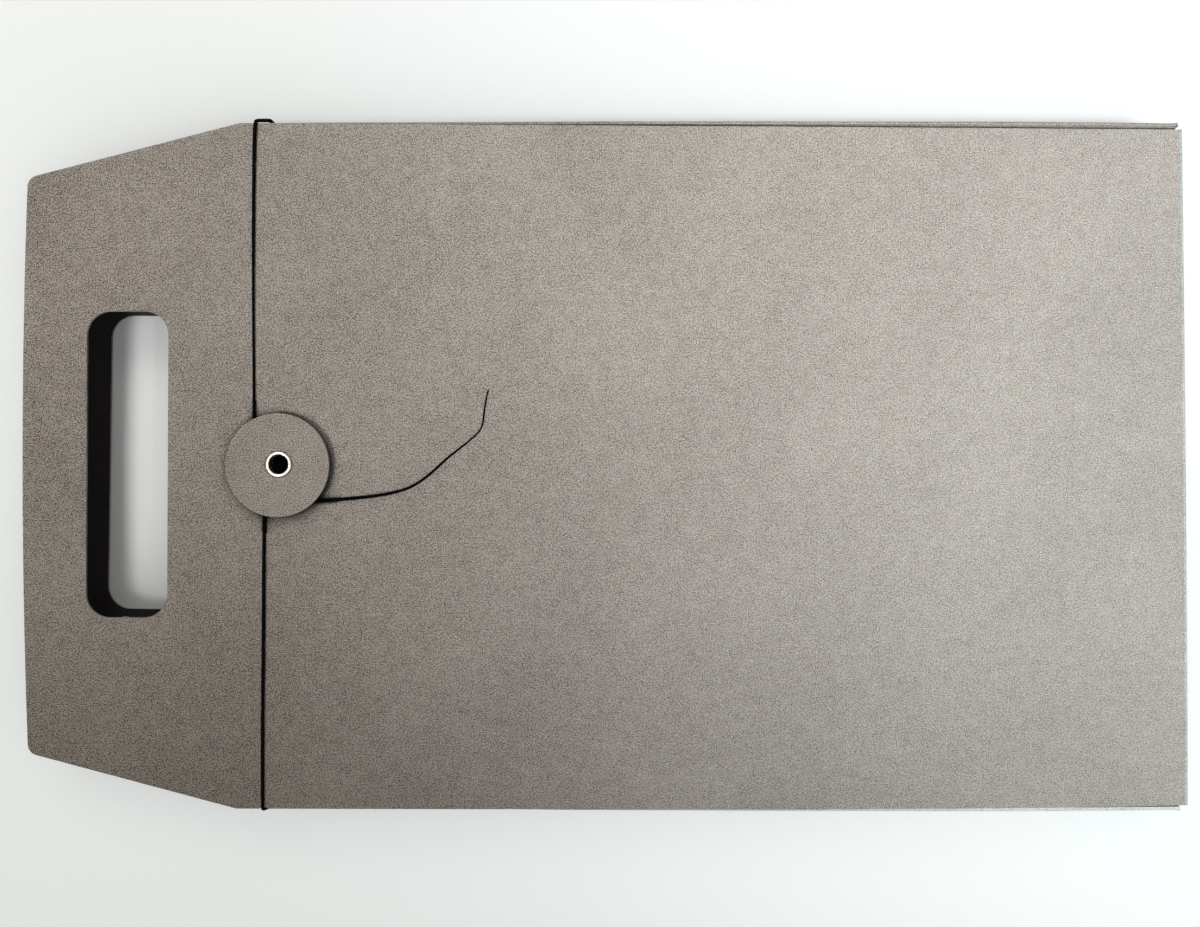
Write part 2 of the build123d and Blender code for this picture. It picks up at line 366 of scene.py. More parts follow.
def beside_disc(tree, place):
    """Where the board gets painted shade beside the disc: 1 near it and 0 elsewhere, so that
    the cord elsewhere gets none, and how much of the open sky leaves the board unshaded.
    That share is larger towards the disc's lower left, so the painted shade is deeper there."""
    offsets = [add(tree, "ShaderNodeMath", {"operation": "SUBTRACT"}, i0=place.outputs[axis],
                   i1=middle)
               for axis, middle in (("X", DISC_X + DISC_OFF[0]), ("Y", DISC_OFF[1]))]
    squares = [add(tree, "ShaderNodeMath", {"operation": "MULTIPLY"}, i0=offset.outputs[0],
                   i1=offset.outputs[0]) for offset in offsets]
    total = add(tree, "ShaderNodeMath", {"operation": "ADD"}, i0=squares[0].outputs[0],
                i1=squares[1].outputs[0])
    mask = add(tree, "ShaderNodeMath", {"operation": "LESS_THAN"}, i0=total.outputs[0],
               i1=(DISC_RADIUS + DISC_SHADE_WIDTH) ** 2)
    unshaded_at = DISC_UNSHADED_AT
    for offset, slope in zip(offsets, DISC_SHADE_SLOPES):
        unshaded_at = add(tree, "ShaderNodeMath", {"operation": "MULTIPLY_ADD"},
                       i0=offset.outputs[0], i1=slope, i2=unshaded_at).outputs[0]
    return mask.outputs[0], unshaded_at


def beyond_cover(tree, place):
    """Where the board gets painted shade along the front cover's straight sides: 1 outside them
    and 0 under the cover, and how much of the open sky leaves the board unshaded."""
    across = add(tree, "ShaderNodeMath", {"operation": "ABSOLUTE"}, i0=place.outputs["Y"])
    mask = add(tree, "ShaderNodeMath", {"operation": "GREATER_THAN"}, i0=across.outputs[0],
               i1=COVER_HALF - STRIP_INSET)
    return mask.outputs[0], STRIP_UNSHADED_AT


def greyboard(name="greyboard", dark="#413A32", pale="#BEB6AD", fade=MOTTLE_FADE,
              painted_shade=None, zone=None):
    """Recycled greyboard, calendered and uncoated: matt, with mottled pulp, short fibres and
    sparse flecks of ink. The mottling fades towards the spine. Within its zone, painted shade
    can darken its colour where little open sky is near."""
    made, tree, output = new_material(name)
    point, clumps, mottle = greyboard_grain(tree)
    place = add(tree, "ShaderNodeSeparateXYZ", Vector=point)
    half = add(tree, "ShaderNodeMath", {"operation": "MULTIPLY_ADD"}, i0=place.outputs["X"],
               i1=fade, i2=MOTTLE_HALF)
    off = add(tree, "ShaderNodeMath", {"operation": "SUBTRACT"}, i0=mottle, i1=0.5)
    off = add(tree, "ShaderNodeMath", {"operation": "DIVIDE"}, i0=off.outputs[0],
              i1=half.outputs[0])
    spread = add(tree, "ShaderNodeMath", {"operation": "MULTIPLY_ADD", "use_clamp": True},
                 i0=off.outputs[0], i1=0.5, i2=0.5)
    pulp = add(tree, "ShaderNodeMix", {"data_type": "RGBA"}, i0=spread.outputs[0],
               i6=linear(dark), i7=linear(pale))
    cells = add(tree, "ShaderNodeTexVoronoi", Vector=point, Scale=1 / FLECK_CELL, Randomness=1.0)
    spot = add(tree, "ShaderNodeMath", {"operation": "LESS_THAN"}, i0=cells.outputs["Distance"],
               i1=FLECK_RADIUS / FLECK_CELL)
    picked = add(tree, "ShaderNodeMath", {"operation": "GREATER_THAN"},
                 i0=add(tree, "ShaderNodeSeparateColor", Color=cells.outputs["Color"]).outputs[0],
                 i1=1 - FLECKED)
    fleck = add(tree, "ShaderNodeMath", {"operation": "MULTIPLY"}, i0=spot.outputs[0],
                i1=picked.outputs[0])
    ink = add(tree, "ShaderNodeMath", {"operation": "MULTIPLY"}, i0=fleck.outputs[0],
              i1=INK_STRENGTH)
    surface = add(tree, "ShaderNodeMix", {"data_type": "RGBA"}, i0=ink.outputs[0],
                  i6=pulp.outputs[2], i7=linear("#3F3C36"))
    # painted shade: the colour darkens towards near black where the next piece hides the sky
    if painted_shade:
        reach, darkest_at, darkest = painted_shade
        mask, unshaded_at = zone(tree, place)
        sky = add(tree, "ShaderNodeAmbientOcclusion", {"samples": 8}, Distance=reach * MM)
        unshaded = add(tree, "ShaderNodeMapRange", {"clamp": True}, Value=sky.outputs["AO"],
                    i1=darkest_at, i2=unshaded_at, i3=darkest, i4=1.0)
        outside = add(tree, "ShaderNodeMath", {"operation": "SUBTRACT"}, i0=1.0, i1=mask)
        unshaded = add(tree, "ShaderNodeMath", {"operation": "MAXIMUM"}, i0=unshaded.outputs[0],
                    i1=outside.outputs[0])
        surface = add(tree, "ShaderNodeMix", {"data_type": "RGBA"}, i0=unshaded.outputs[0],
                      i6=linear("#0C0B0A"), i7=surface.outputs[2])
    fibrous_skin(tree, output, surface.outputs[2], clumps, relief=0.06, strength=0.35,
                 roughness=0.92, sheen=0.25)
    return made


def spine_fold_highlight_greyboard():
    """Greyboard round the spine's upper fold, paler and cooler than the face with less mottling:
    partly its stretched fibres, partly a painted highlight for the light that the rounded fold
    catches from beyond the spine."""
    return greyboard("greyboard_spine_fold_highlight", "#6F6F6B", "#B6B7AF", fade=0.0)


def left_fold_highlight_greyboard():
    """Greyboard along the left wall's top fold, much paler than the face: a painted highlight for
    the light that falls on the rounded fold.
    """
    return greyboard("greyboard_left_fold_highlight", "#878985", "#DCDFD8", fade=0.0)


def rim_highlight_greyboard():
    """Greyboard at the top of the disc's rim, paler than the flat face: a painted highlight for
    the light that the fibres standing at the cut catch."""
    return greyboard("greyboard_rim_highlight", "#48413A", "#D0C8BE")


def greyboard_cut_edge():
    """Die-cut edge of greyboard: the pressed plies show as fine lines, and loose fibres make
    it a little paler and rougher than the face."""
    made, tree, output = new_material("greyboard_cut_edge")
    point, _, mottle = greyboard_grain(tree)
    depth = add(tree, "ShaderNodeAttribute", {"attribute_name": "ply_depth"}).outputs["Fac"]
    plies_down = add(tree, "ShaderNodeMath", {"operation": "MULTIPLY"}, i0=depth, i1=PLIES)
    layered = add(tree, "ShaderNodeVectorMath", {"operation": "MULTIPLY_ADD"}, i0=point,
                  i1=(1 / PLY_RUN, 1 / PLY_RUN, 1 / PLY_RUN),
                  i2=add(tree, "ShaderNodeCombineXYZ", X=plies_down.outputs[0]).outputs[0])
    plies = add(tree, "ShaderNodeTexNoise", Vector=layered.outputs[0], Scale=1.0, Detail=2.0)
    mixed = add(tree, "ShaderNodeMath", {"operation": "MULTIPLY_ADD"}, i0=plies.outputs[0],
                i1=0.55, i2=add(tree, "ShaderNodeMath", {"operation": "MULTIPLY"}, i0=mottle,
                                i1=0.45).outputs[0])
    spread = add(tree, "ShaderNodeMapRange", {"clamp": True}, Value=mixed.outputs[0], i1=0.32,
                 i2=0.68)
    pulp = add(tree, "ShaderNodeMix", {"data_type": "RGBA"}, i0=spread.outputs[0],
               i6=linear("#66635C"), i7=linear("#B7B3AC"))
    fibrous_skin(tree, output, pulp.outputs[2], mixed.outputs[0], relief=0.12, strength=0.6,
                 roughness=0.95, sheen=0.2)
    return made


def black_lining():
    """Thin black paper glued over the inner side of the board: matt, a little uneven, and so
    dark that the inside shows as black through the hand hole."""
    made, tree, output = new_material("black_lining_paper")
    fibre = add(tree, "ShaderNodeTexNoise", Vector=point_in_mm(tree), Scale=1.5, Detail=3.0)
    dye = add(tree, "ShaderNodeMix", {"data_type": "RGBA"}, i0=fibre.outputs[0],
              i6=linear("#241F20"), i7=linear("#3A3537"))
    fibrous_skin(tree, output, dye.outputs[2], fibre.outputs[0], relief=0.04, strength=0.3,
                 roughness=0.85, sheen=0.25)
    return made


def bright_nickel():
    """Nickel-plated brass eyelet: a bright tumbled plate with faint scratches."""
    made, tree, output = new_material("bright_nickel")
    wear = add(tree, "ShaderNodeTexNoise", Vector=point_in_mm(tree), Scale=3.0, Detail=4.0)
    dull = add(tree, "ShaderNodeMapRange", {"clamp": True}, Value=wear.outputs[0], i3=0.16,
               i4=0.34)
    bump = add(tree, "ShaderNodeBump", Strength=0.12, Distance=0.03 * MM, Height=wear.outputs[0])
    plate = add(tree, "ShaderNodeBsdfPrincipled", Base_Color=linear("#DFDBD3"), Metallic=1.0,
                Roughness=dull.outputs[0], Normal=bump.outputs[0])
    tree.links.new(plate.outputs[0], output.inputs["Surface"])
    return made


def waxed_cord():
    """Three-ply cotton cord, dyed black and waxed: deep black with a soft narrow sheen along
    its plies."""
    made, tree, output = new_material("waxed_black_cord")
    lint = add(tree, "ShaderNodeTexNoise", Vector=point_in_mm(tree), Scale=6.0, Detail=3.0)
    dye = add(tree, "ShaderNodeMix", {"data_type": "RGBA"}, i0=lint.outputs[0],
              i6=linear("#000000"), i7=linear("#050505"))
    fibrous_skin(tree, output, dye.outputs[2], lint.outputs[0], relief=0.04, strength=0.5,
                 roughness=0.6, sheen=0.03)
    return made


# Cord

CORD_SIDES = 18
CORD_STEP = 0.24            # between two rings of its mesh
PLY_GROOVE = 0.14           # depth of the grooves between plies, as a share of the radius
TUFT_FIBRES = 20
TUFT_TURN = 2.4             # radians from one fibre to the next, which spreads them evenly
TUFT_ROOT = 0.3             # how deep in the cord a fibre starts
FIBRE_RADII = (0.055, 0.045, 0.012)     # at its root, past its middle and at its tip

def smooth_path(name, points):
    """Points along the smooth curve that these control points pull."""
    data = bpy.data.curves.new(name + "_route", "CURVE")
    data.dimensions = "3D"
    data.resolution_u = 24
    spline = data.splines.new("NURBS")
    spline.points.add(len(points) - 1)
    for knot, point in zip(spline.points, points):
        knot.co = (*(Vector(point) * MM), 1.0)
    spline.order_u = 3
    spline.use_endpoint_u = True
    holder = bpy.data.objects.new(name + "_route", data)
    bpy.context.scene.collection.objects.link(holder)
    bpy.context.view_layer.update()
    mesh = bpy.data.meshes.new_from_object(holder)
    path = [v.co / MM for v in mesh.vertices]
    bpy.data.objects.remove(holder)
    bpy.data.meshes.remove(mesh)
    return path


def even(path, step):
    """The same path with a point at each step of its length."""
    runs = [(b - a).length for a, b in zip(path, path[1:])]
    total = sum(runs)
    count = max(2, round(total / step))
    spaced, i, done = [], 0, 0.0
    for k in range(count + 1):
        target = total * k / count
        while i < len(runs) - 1 and done + runs[i] < target:
            done += runs[i]
            i += 1
        share = (target - done) / runs[i] if runs[i] else 0.0
        spaced.append(path[i].lerp(path[i + 1], min(max(share, 0.0), 1.0)))
    return spaced, total


def laid_cord(name, points, made, shares, start_turn=0.0, cut=False):
    """Three plies laid round a smooth path, as thick as the cord's radius times the shares,
    which are spread evenly along it."""
    path, length = even(smooth_path(name, points), CORD_STEP)
    last = len(path) - 1
    corners, faces = [], []
    side = Vector((0, 0, 1))
    for k, centre in enumerate(path):
        ahead = path[min(k + 1, last)] - path[max(k - 1, 0)]
        ahead.normalize()
        side = (side - ahead * side.dot(ahead)).normalized()
        across = ahead.cross(side)
        turn = start_turn + 2 * pi * k * length / last / CORD_TWIST
        along = (len(shares) - 1) * k / last
        first = min(int(along), len(shares) - 2)
        share = shares[first] + (shares[first + 1] - shares[first]) * (along - first)
        for j in range(CORD_SIDES):
            angle = 2 * pi * j / CORD_SIDES
            ply = abs(cos(1.5 * (angle - turn))) ** 0.6
            radius = CORD_RADIUS * (1 - PLY_GROOVE + PLY_GROOVE * ply) * share
            corners.append(centre + side * (radius * cos(angle)) + across * (radius * sin(angle)))
    for k in range(last):
        for j in range(CORD_SIDES):
            a, b = k * CORD_SIDES + j, k * CORD_SIDES + (j + 1) % CORD_SIDES
            faces.append((a, b, b + CORD_SIDES, a + CORD_SIDES))
    faces.append(tuple(range(CORD_SIDES))[::-1])
    faces.append(tuple(range(last * CORD_SIDES, len(path) * CORD_SIDES)))
    if cut:
        add_tuft(corners, faces, path[-1], (path[-1] - path[-2]).normalized(),
                 CORD_RADIUS * shares[-1])
    piece = mesh_piece(name, corners, faces, [made])
    return piece, path, length, turn


def add_tuft(corners, faces, end, ahead, cut_radius):
    """Loose fibres of the cut end, each a thin three-sided thread that leans outward. None dips
    into the cover."""
    across = ahead.cross(Vector((0, 0, 1))).normalized()
    up = across.cross(ahead)
    for k in range(TUFT_FIBRES):
        angle = TUFT_TURN * k
        reach = cut_radius * 0.85 * (k / TUFT_FIBRES) ** 0.5
        root = end + across * (reach * cos(angle)) + up * (reach * sin(angle)) - ahead * TUFT_ROOT
        lean = (across * cos(angle) + up * sin(angle)) * (0.08 + 0.08 * (k % 3))
        tip = root + (ahead + lean) * (0.4 + 0.06 * (k % 4))
        tip.z = max(tip.z, FRONT_FACE + 0.05)
        first = len(corners)
        for place, thick in zip((root, root.lerp(tip, 0.6), tip), FIBRE_RADII):
            for j in range(3):
                swing = 2 * pi * j / 3
                corners.append(place + across * (thick * cos(swing)) + up * (thick * sin(swing)))
        for ring in (0, 3):
            for j in range(3):
                a, b = first + ring + j, first + ring + (j + 1) % 3
                faces.append((a, b, b + 3, a + 3))
        faces.append((first + 2, first + 1, first))
        faces.append((first + 6, first + 7, first + 8))


# Heights of the cord's middle: on the cover, where it crosses its own first strand, and under
# the folder
CORD_HEIGHT = 21.75
CROSSING = 23.0
UNDER = 0.55
LEFT_SPLIT = (-114.42, -115.091, CORD_HEIGHT)
RIGHT_SPLIT = (-117.65, 114.92, 21.8)
TAIL_SPLIT = (-99.63, -12.605, 21.915)

LEFT_STRAND = [
    (-112.7, -4.2, CORD_HEIGHT), (-113.7, -11.5, CORD_HEIGHT), (-114.25, -20.0, 21.8),
    (-114.27, -42.0, 21.8), (-114.4, -70.0, 21.8), (-114.6, -96.0, 21.8), LEFT_SPLIT,
]
RIGHT_STRAND = [
    RIGHT_SPLIT, (-118.0, 112.4, 21.82), (-118.27, 66.0, 21.8), (-117.68, 17.0, CORD_HEIGHT),
    (-117.75, 7.0, 22.0), (-116.7, -3.6, CROSSING), (-111.5, -11.3, CROSSING),
    (-103.5, -13.1, 22.05), TAIL_SPLIT,
]
TAIL = [
    TAIL_SPLIT, (-94.9, -12.3, CORD_HEIGHT), (-84.4, -11.45, 21.73), (-73.4, -10.2, 21.7),
    (-64.8, -7.9, 21.67), (-58.5, -3.5, 21.64), (-52.4, 2.4, 21.61), (-44.7, 8.2, 21.58),
    (-40.5, 12.4, 21.56), (-40.15, 18.8, 21.54), (-38.8, 25.0, 21.52),
]
# The left end presses into the cover's edge; the right one slides along it before it goes down
GIRTH = [
    LEFT_SPLIT, (-114.4, -115.7, 21.72), (-114.3, -116.05, 21.15), (-114.1, -116.2, 20.3),
    (-113.6, -116.6, 16.55), (-113.6, -116.6, 10.0), (-113.8, -116.6, 3.52),
    (-113.8, -116.6, 1.78), (-113.8, -115.37, UNDER), (-113.8, -113.63, UNDER),
    (-113.8, -60.0, UNDER), (-113.8, 0.0, UNDER), (-113.8, 60.0, UNDER),
    (-113.8, 113.63, UNDER), (-113.8, 115.37, UNDER), (-113.8, 116.6, 1.78),
    (-113.8, 116.6, 3.52), (-113.3, 116.6, 10.0), (-113.0, 116.65, 16.55),
    (-113.0, 116.7, 19.7), (-113.5, 116.4, 21.2), (-116.5, 116.3, 21.45),
    (-117.4, 116.05, 21.75), (-117.55, 115.33, 21.8), RIGHT_SPLIT,
]


# How thick each stretch looks along its length, as shares of the cord's radius
LEFT_SHARES = (1.05, 1.08, 1.0)
GIRTH_SHARES = (1.0, 1.2)
RIGHT_SHARES = (1.2, 1.0, 0.82, 0.8, 0.9, 1.1)
TAIL_SHARES = (1.22, 1.1, 0.94, 0.76, 0.5, 0.5)


def tie_cord(made):
    """The cord from its knot under the disc, round the folder, and back to its loose end."""
    strand, _, _, turn = laid_cord("cord_from_knot", LEFT_STRAND, made, LEFT_SHARES)
    stand_in_for(strand, "front", "black_cord", "cord_left_strand")
    girth, _, _, turn = laid_cord("cord_round_folder", GIRTH, made, GIRTH_SHARES, turn)
    stand_in_for(girth, "front", "black_cord", "cord_left_leg", "cord_back_run", "cord_right_leg")
    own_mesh(girth)
    strand, _, _, turn = laid_cord("cord_to_disc", RIGHT_STRAND, made, RIGHT_SHARES, turn)
    stand_in_for(strand, "front", "black_cord", "cord_right_strand")
    tail, path, length, _ = laid_cord("cord_loose_end", TAIL, made, TAIL_SHARES, turn, cut=True)
    stand_in_for(tail, "front", "black_cord", "cord_tail")


# The cord's middle goes round the barrel this far out. The points lie further out by the last
# number, because the smooth curve cuts inside them.
KNOT_TURN = CORD_RADIUS + BARREL_RADIUS + 0.05
KNOT_PULL = 1.03
KNOT = [
    (-111.9, -3.3, 21.9), (-113.4, -3.0, 22.8), (-114.2, -1.6, 23.0), (-113.4, -0.4, 22.9),
    (-111.9, -1.4, 22.9), (-111.7, -3.6, 22.9), (-112.1, -5.4, 22.5),
]


def knot_loop(made):
    """One turn of the cord round the barrel, and a flat overhand knot on its strand."""
    reach = KNOT_TURN * KNOT_PULL
    ring = [(DISC_X + reach * cos(radians(a)), reach * sin(radians(a)), CORD_HEIGHT)
            for a in range(180, -121, -30)]
    start = [(-112.7, -4.2, CORD_HEIGHT), (-112.75, -2.0, CORD_HEIGHT)]
    piece = laid_cord("cord_knot", start + ring + KNOT, made, (1.0, 1.0))[0]
    stand_in_for(piece, "front", "black_cord", "cord_knot_loop")


# Board

# The numbers of a board piece's finishes
FACE, CUT_EDGE, INSIDE, RIM_HIGHLIGHT = range(4)

EDGE_STEP = 1.2             # between two points of a cut edge
NEARLY_STRAIGHT = 0.05      # sine of the turn up to which two edges count as one line
RAG_WAVES = 0.9             # waves of the ragged cut to a millimetre
BURR_DEPTH = 0.6            # a burr is full down to this depth,
BURR_REST = 0.4             # and this share of it is left below

def rounded_corner(before, corner, after, radius):
    """Points of the arc that rounds a corner of an outline."""
    back = (Vector(before) - Vector(corner)).normalized()
    on = (Vector(after) - Vector(corner)).normalized()
    half = back.angle(on) / 2
    reach = radius / tan(half)
    centre = Vector(corner) + (back + on).normalized() * (radius / sin(half))
    start = Vector(corner) + back * reach - centre
    sweep = start.angle_signed(Vector(corner) + on * reach - centre)
    count = 12
    arc = []
    for k in range(count + 1):
        angle = -sweep * k / count
        arc.append((centre.x + start.x * cos(angle) - start.y * sin(angle),
                    centre.y + start.x * sin(angle) + start.y * cos(angle)))
    return arc


def divided(outline, step):
    """The outline, as (x, y, cut) points, with its edges cut into short steps."""
    points = []
    for (x, y, cut), (x2, y2, _) in zip(outline, outline[1:] + outline[:1]):
        count = max(1, floor(hypot(x2 - x, y2 - y) / step))
        for k in range(count):
            points.append((x + (x2 - x) * k / count, y + (y2 - y) * k / count, cut))
    return points


def moved_in(points, insets):
    """The outline moved into the board by the inset at each point, along cut edges only."""
    moved = []
    for i, (x, y, cut) in enumerate(points):
        px, py, cut_before = points[i - 1]
        nx, ny, _ = points[(i + 1) % len(points)]
        before = Vector((py - y, x - px)).normalized()
        after = Vector((y - ny, nx - x)).normalized()
        a, b = insets[i] * cut_before, insets[i] * cut
        cross = before.x * after.y - before.y * after.x
        if abs(cross) < NEARLY_STRAIGHT:
            shift = (before * a + after * b) / 2
        else:
            shift = Vector(((a * after.y - b * before.y) / cross,
                            (b * before.x - a * after.x) / cross))
        moved.append((x + shift.x, y + shift.y))
    return moved


# The knife rounds the edge of the outer face and leaves the inner one ragged:
# how far in from the cut, how deep below the outer face, and how ragged
EDGE_PROFILE = (
    (0.32, 0.0, 0.0), (0.16, 0.02, 0.02), (0.05, 0.08, 0.03), (0.01, 0.2, 0.04),
    (0.0, 0.45, 0.05), (0.02, 0.8, 0.06), (0.0, 1.08, 0.08), (0.05, BOARD, 0.08),
)


def edge_insets(points, ring, burrs):
    """How far in from the cut line each point of the edge lies at one ring of its profile. A
    burr, given as its x, y, size and width, stands out, and one of negative size is a dent."""
    inset, depth, rag = ring
    kept = 1 if depth < BURR_DEPTH else BURR_REST
    insets = []
    for x, y, _ in points:
        wander = noise(Vector((x * RAG_WAVES, y * RAG_WAVES, depth * 1.5))) * rag
        burr = sum(size * exp(-(((x - bx) ** 2 + (y - by) ** 2) / width ** 2))
                   for bx, by, size, width in burrs)
        insets.append(inset + wander - burr * kept)
    return insets


def board_panel(name, loops, place, made, burrs=()):
    """A flat piece of board. Its loops are counterclockwise outlines and clockwise holes, and
    place() turns x, y and the depth below the outer face to a point."""
    corners, flat, depths, faces, kinds, smooth = [], [], [], [], [], []
    rings = []
    last = len(EDGE_PROFILE) - 1
    for loop in loops:
        points = divided(loop, EDGE_STEP)
        count = len(points)
        first = len(corners)
        for ring in EDGE_PROFILE:
            depth = ring[1]
            for x, y in moved_in(points, edge_insets(points, ring, burrs)):
                corners.append(place(x, y, depth))
                flat.append(Vector((x, y, 0.0)))
                depths.append(depth)
        for level in range(last):
            for i in range(count):
                a, b = first + level * count + i, first + level * count + (i + 1) % count
                faces.append((a, b, b + count, a + count))
                kinds.append(CUT_EDGE if level else FACE)
                smooth.append(True)
        rings.append((first, count))
    for level, kind in ((0, FACE), (last, INSIDE)):
        numbers = [first + level * count + i for first, count in rings for i in range(count)]
        level_loops = [flat[first + level * count:first + level * count + count]
                       for first, count in rings]
        for triangle in tessellate_polygon(level_loops):
            faces.append(tuple(numbers[i] for i in triangle))
            kinds.append(kind)
            smooth.append(False)
    piece = mesh_piece(name, corners, faces, made, kinds, smooth)
    store_depth(piece, depths)
    outward(piece)
    return piece


def store_depth(piece, depths):
    """How deep each corner lies below the board's outer face, for the lines of its plies."""
    ply = piece.data.attributes.new("ply_depth", "FLOAT", "POINT")
    ply.data.foreach_set("value", depths)


def outward(piece):
    """Turns all faces outward."""
    shape = bmesh.new()
    shape.from_mesh(piece.data)
    bmesh.ops.recalc_face_normals(shape, faces=shape.faces)
    shape.to_mesh(piece.data)
    shape.free()


# The front cover's handle as it lies: where it meets the long edges, half its width at the end,
# on the right and on the left, and how its end slants, as a start and a share of y
FRONT_KNEES = ((-123.1, 115.6), (-123.5, -115.97))
FRONT_HALVES = (97.05, 97.4)
FRONT_SLANT = (0.22, -0.0055)
END_STEPS = 20              # along the handle's bowed end


def handle_outline(knees, halves, slant):
    """The tapered handle's outline, from its right side round to its left side, with its
    bowed end."""
    def end_point(y):
        return HANDLE_END + HANDLE_BOW * (y / HANDLE_HALF) ** 2 + slant[0] + slant[1] * y, y

    right_knee, left_knee = knees
    right, left = halves
    bow = [end_point(right - (right + left) * k / END_STEPS) for k in range(1, END_STEPS)]
    first_arc = rounded_corner(right_knee, end_point(right), bow[0], HANDLE_CORNER)
    second_arc = rounded_corner(bow[-1], end_point(-left), left_knee, HANDLE_CORNER)
    return [(x, y, True) for x, y in [right_knee, *first_arc, *bow, *second_arc, left_knee]]


# The fold between the spine and the front cover: how far out it lies at its left end, by how
# much less at its middle, and where that end is
SWAY_OUT, SWAY_FALL, SWAY_END = 0.2, 0.28, -107.0
FOLD_STEPS = 24             # along the front cover's fold


def spine_sway(y):
    """How far the fold between the spine and the front cover lies off its line."""
    return SWAY_OUT - SWAY_FALL * ((y - SWAY_END) / SWAY_END) ** 2


def wall_bulge(x, table):
    """How far the top of a side wall stands out from its line."""
    for (x1, out1), (x2, out2) in zip(table, table[1:]):
        if x <= x2:
            return out1 + (out2 - out1) * max(x - x1, 0.0) / (x2 - x1)
    return table[-1][1]


def front_outline():
    """The front cover as it lies, from its fold round its handle and back along its left edge."""
    low, high = SPINE_ENDS
    fold = [low + (high - low) * k / FOLD_STEPS for k in range(FOLD_STEPS + 1)]
    outline = [(SPINE_FOLD + spine_sway(y), y, y >= high) for y in fold]
    outline += [(x, y, True) for x, y in FRONT_RIGHT_EDGE]
    outline += handle_outline(FRONT_KNEES, FRONT_HALVES, FRONT_SLANT)
    return outline + [(x, y, True) for x, y in FRONT_LEFT_EDGE]


def back_outline():
    """The back cover, whose handle is as cut."""
    handle = handle_outline(((WALL_START, COVER_HALF), (WALL_START, -COVER_HALF)),
                            (HANDLE_HALF, HANDLE_HALF), (0.0, 0.0))
    return [(SPINE_FOLD, -SIDE_FOLD, False), (SPINE_FOLD, SIDE_FOLD, False),
            (WALL_START, SIDE_FOLD, True), *handle, (WALL_START, -SIDE_FOLD, False)]


def hand_hole(near=HOLE_NEAR, shift=0.0, turn=0.0):
    """The hand hole's outline, clockwise, shifted to the right and turned by degrees."""
    corners = [(near, -HOLE_HALF), (near, HOLE_HALF), (HOLE_FAR, HOLE_HALF),
               (HOLE_FAR, -HOLE_HALF)]
    middle = (HOLE_NEAR + HOLE_FAR) / 2
    swing = radians(turn)
    outline = []
    for i, corner in enumerate(corners):
        arc = rounded_corner(corners[i - 1], corner, corners[(i + 1) % 4], HOLE_CORNER)
        outline += [(middle + (x - middle) * cos(swing) - y * sin(swing),
                     shift + (x - middle) * sin(swing) + y * cos(swing), True) for x, y in arc]
    return outline


def round_hole(x, y, radius):
    """A round hole's outline, clockwise."""
    return [(x + radius * cos(-2 * pi * k / 36), y + radius * sin(-2 * pi * k / 36), True)
            for k in range(36)]


# Places on the front cover's edges: x, y, size and width
DIE_NICK = (-160.9, -HOLE_HALF, 0.75, 0.7)
CORD_DENT = (-114.3, -116.0, -0.5, 0.8)


def covers(made, shaded):
    """The two covers with their handles. The front one has a nick left by the die in the
    middle of its hole's lower end, and a dent where the cord presses into its edge."""
    front = board_panel(
        "front_cover_board",
        [front_outline(), hand_hole(), round_hole(DISC_X, 0.0, BARREL_HOLE)],
        lambda x, y, depth: (x, y, FRONT_FACE - depth), shaded, burrs=[DIE_NICK, CORD_DENT])
    stand_in_for(front, "front", "greyboard", "front_cover")
    back = board_panel(
        "back_cover_board",
        [back_outline(), hand_hole(BACK_HOLE_NEAR, BACK_HOLE_SHIFT, BACK_HOLE_TURN)],
        lambda x, y, depth: (x, y, BACK_FACE + depth), made)
    stand_in_for(back, "back", "greyboard", "back_cover")


def spine(made):
    """The spine's wall, whose top follows the front cover's fold."""
    low, high = SPINE_ENDS
    outline = [(low, LOW_FOLD, False), (high, LOW_FOLD, True),
               (high, COVER_FOLD, False), (low, COVER_FOLD, True)]

    def place(y, z, depth):
        share = (z - LOW_FOLD) / (COVER_FOLD - LOW_FOLD)
        return SPINE_FACE - depth + spine_sway(y) * share, y, z

    piece = board_panel("spine_board", [outline], place, made)
    stand_in_for(piece, "spine", "greyboard", "spine_wall")


def side_walls(made, shaded):
    """The walls along the two long sides, and the flaps that fold in from their tops."""
    wall = [(PANEL_START, LOW_FOLD, False), (PANEL_END, LOW_FOLD, True),
            (PANEL_END, FLAP_FOLD, False), (PANEL_START, FLAP_FOLD, True)]
    mitre = SIDE_FOLD - FLAP_TIP
    flap = [(PANEL_START, SIDE_FOLD, True), (PANEL_START + FLAP_SLANT, FLAP_TIP, True),
            (PANEL_END - mitre, FLAP_TIP, True), (PANEL_END, SIDE_FOLD, False)]
    for name, side, table in (("right", 1, RIGHT_TOP), ("left", -1, LEFT_TOP)):
        def wall_place(x, z, depth):
            share = (z - LOW_FOLD) / (FLAP_FOLD - LOW_FOLD)
            return x, side * (SIDE_FACE - depth + wall_bulge(x, table) * share), z

        def flap_place(x, y, depth):
            share = (y - FLAP_TIP) / (SIDE_FOLD - FLAP_TIP)
            return x, side * (y + wall_bulge(x, table) * share), FLAP_TOP - depth

        piece = board_panel(name + "_wall_board", [wall], wall_place, made)
        stand_in_for(piece, name + "_wall", "greyboard", name + "_side_wall")
        piece = board_panel(name + "_flap_board", [flap], flap_place, shaded)
        stand_in_for(piece, name + "_flap", "greyboard", name + "_inner_flap")


BEND_STEPS = (12, 5)        # round the outside of a bend, and round its inside
BEND_STEP = 1.6             # along it
SCORE_PLACE = 1.2           # steps from a panel to the score beside it
SCORE_WIDTH = 0.7           # steps
SCORE_DEPTH = 0.06
WRINKLE = 0.045
CURL = 0.3                  # how far a top fold's end beside the spine springs out,
CURL_LENGTH = 0.9           # and over what length


